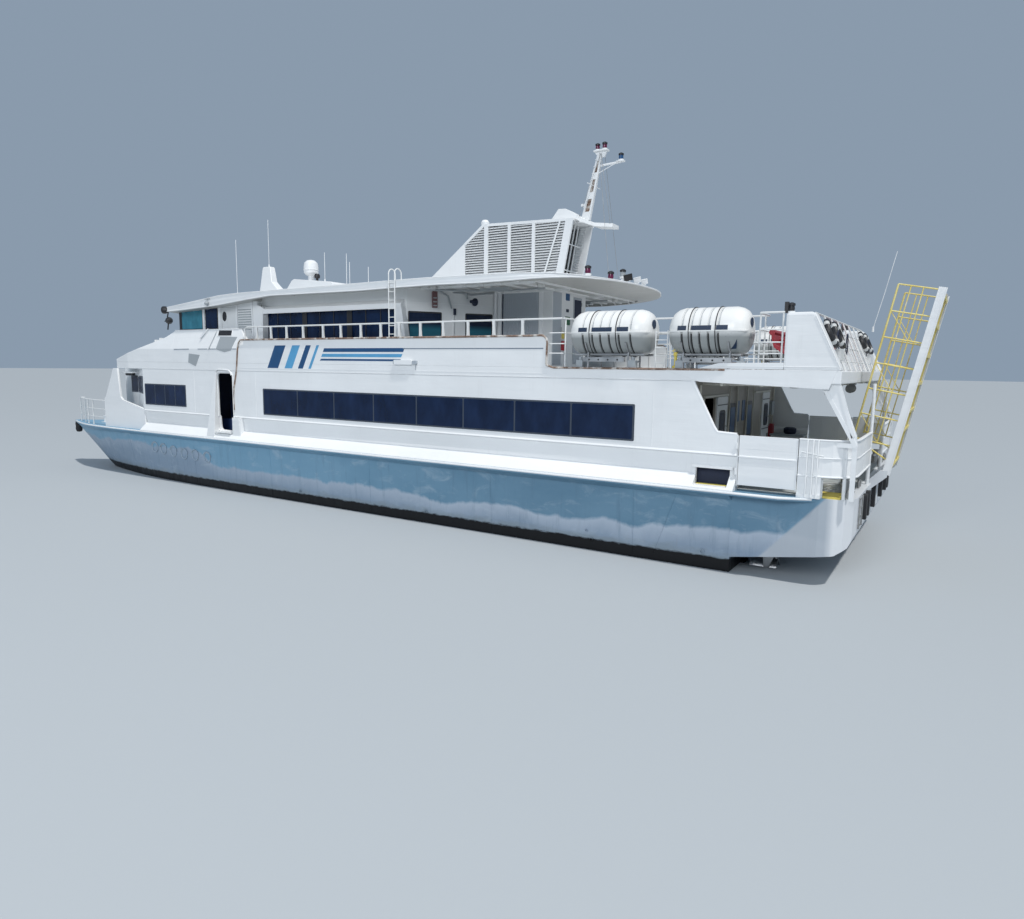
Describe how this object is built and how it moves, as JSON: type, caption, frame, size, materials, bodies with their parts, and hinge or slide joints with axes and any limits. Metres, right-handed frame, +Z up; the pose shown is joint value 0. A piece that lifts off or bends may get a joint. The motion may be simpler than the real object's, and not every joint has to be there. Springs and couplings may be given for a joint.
{
  "type": "passenger ferry",
  "caption": "Aluminium passenger catamaran ferry with two decks of cabins, wheelhouse, louvred air casing, life rafts, waterjets and a raised stern boarding ramp.",
  "frame": {"origin": "on the centreline at the waterline, amidships", "axes": "+X towards the bow, +Y to port, +Z up"},
  "size_m": [35.1653, 9.4, 13.03],
  "materials": {
    "white_paint": "weathered white marine paint on aluminium plate",
    "hull_paint": "pale grey-blue marine paint, chalky, black boot-top at the waterline",
    "deck_paint": "white edge and grey non-slip deck paint",
    "window_glass": "dark blue tinted bonded glass",
    "raft_shell": "ribbed glass-reinforced plastic shells",
    "red_paint": "faded red",
    "jet_metal": "cast, dull",
    "rail_paint": "white painted tube",
    "ramp_paint": "worn yellow over white"
  },
  "bodies": {
    "vessel": {"aft_bulkhead": "white_paint", "bow_fin_port": "white_paint", "bow_fin_starboard": "white_paint", "bow_rail_port": "rail_paint", "bow_rail_starboard": "rail_paint", "bridge_aft": "white_paint", "bridge_deck": "hull_paint", "bridge_front": "white_paint", "bridge_side_port": "white_paint", "bridge_side_starboard": "white_paint", "bulwark_port": "white_paint", "bulwark_starboard": "white_paint", "cabin_forward_port": "white_paint", "cabin_forward_starboard": "white_paint", "cabin_front": "white_paint", "cabin_glass_port": "window_glass", "cabin_glass_starboard": "window_glass", "cabin_side_port": "white_paint", "cabin_side_starboard": "white_paint", "casing": "white_paint", "forward_glass_port": "window_glass", "forward_glass_starboard": "window_glass", "gable_port": "white_paint", "gable_starboard": "white_paint", "house_aft": "white_paint", "house_side_port": "white_paint", "house_side_starboard": "white_paint", "hull_port": "hull_paint", "hull_starboard": "hull_paint", "mast": "white_paint", "quarter_port": "white_paint", "quarter_starboard": "white_paint", "radar_housing": "white_paint", "raft_rail_port": "rail_paint", "raft_rail_starboard": "rail_paint", "rafts_port": "raft_shell", "rafts_starboard": "raft_shell", "rescue_boat": "red_paint", "roof": "white_paint", "side_rail_port": "rail_paint", "side_rail_starboard": "rail_paint", "sloped_front": "white_paint", "stern_overhang": "hull_paint", "stern_rail": "rail_paint", "upper_deck": "deck_paint"},
    "side_door_port": {"side_door_port": "white_paint"},
    "side_door_starboard": {"side_door_starboard": "white_paint"},
    "aft_door_port": {"aft_door_port": "white_paint"},
    "aft_door_starboard": {"aft_door_starboard": "white_paint"},
    "gate_port": {"gate_port": "white_paint"},
    "gate_starboard": {"gate_starboard": "white_paint"},
    "bridge_door_port": {"bridge_door_port": "white_paint"},
    "bridge_door_starboard": {"bridge_door_starboard": "white_paint"},
    "house_door": {"house_door": "white_paint"},
    "foredeck_door": {"foredeck_door": "white_paint"},
    "ramp": {"ramp": "ramp_paint"},
    "nozzle_port": {"nozzle_port": "jet_metal"},
    "nozzle_starboard": {"nozzle_starboard": "jet_metal"},
    "bucket_port": {"bucket_port": "jet_metal"},
    "bucket_starboard": {"bucket_starboard": "jet_metal"}
  },
  "joints": [
    {"name": "side_door_port_slide", "type": "slide", "parent": "vessel", "child": "side_door_port", "axis": [1, 0, 0], "range_m": [0, 1]},
    {"name": "side_door_starboard_slide", "type": "slide", "parent": "vessel", "child": "side_door_starboard", "axis": [-1, 0, 0], "range_m": [0, 1]},
    {"name": "aft_door_port_slide", "type": "slide", "parent": "vessel", "child": "aft_door_port", "axis": [0, 1, 0], "range_m": [0, 0.96]},
    {"name": "aft_door_starboard_slide", "type": "slide", "parent": "vessel", "child": "aft_door_starboard", "axis": [0, 1, 0], "range_m": [0, 0.96]},
    {"name": "gate_port_swing", "type": "hinge", "parent": "vessel", "child": "gate_port", "pos_m": [-14.52, 4.42, 2.1], "axis": [0, 0, 1], "range_deg": [0, 90]},
    {"name": "gate_starboard_swing", "type": "hinge", "parent": "vessel", "child": "gate_starboard", "pos_m": [-14.52, -4.42, 2.1], "axis": [0, 0, -1], "range_deg": [0, 90]},
    {"name": "bridge_door_port_swing", "type": "hinge", "parent": "vessel", "child": "bridge_door_port", "pos_m": [5.042, 3.834, 4.95], "axis": [0, 0, 1], "range_deg": [0, 90]},
    {"name": "bridge_door_starboard_swing", "type": "hinge", "parent": "vessel", "child": "bridge_door_starboard", "pos_m": [5.042, -3.834, 4.95], "axis": [0, 0, -1], "range_deg": [0, 90]},
    {"name": "house_door_swing", "type": "hinge", "parent": "vessel", "child": "house_door", "pos_m": [-7.686, -0.852, 4.9], "axis": [0, 0, 1], "range_deg": [0, 100]},
    {"name": "foredeck_door_swing", "type": "hinge", "parent": "vessel", "child": "foredeck_door", "pos_m": [11.266, -0.402, 2.15], "axis": [0, 0, -1], "range_deg": [0, 100]},
    {"name": "ramp_lower", "type": "hinge", "parent": "vessel", "child": "ramp", "pos_m": [-17.26, 0, 2.26], "axis": [0, -1, 0], "range_deg": [0, 90]},
    {"name": "nozzle_port_steer", "type": "hinge", "parent": "vessel", "child": "nozzle_port", "pos_m": [-14.85, 3.1, -0.06], "axis": [0, 0, 1], "range_deg": [-30, 30]},
    {"name": "nozzle_starboard_steer", "type": "hinge", "parent": "vessel", "child": "nozzle_starboard", "pos_m": [-14.85, -3.1, -0.06], "axis": [0, 0, 1], "range_deg": [-30, 30]},
    {"name": "bucket_port_lower", "type": "hinge", "parent": "nozzle_port", "child": "bucket_port", "pos_m": [-15.03, 3.1, -0.06], "axis": [0, -1, 0], "range_deg": [0, 75]},
    {"name": "bucket_starboard_lower", "type": "hinge", "parent": "nozzle_starboard", "child": "bucket_starboard", "pos_m": [-15.03, -3.1, -0.06], "axis": [0, -1, 0], "range_deg": [0, 75]}
  ]
}
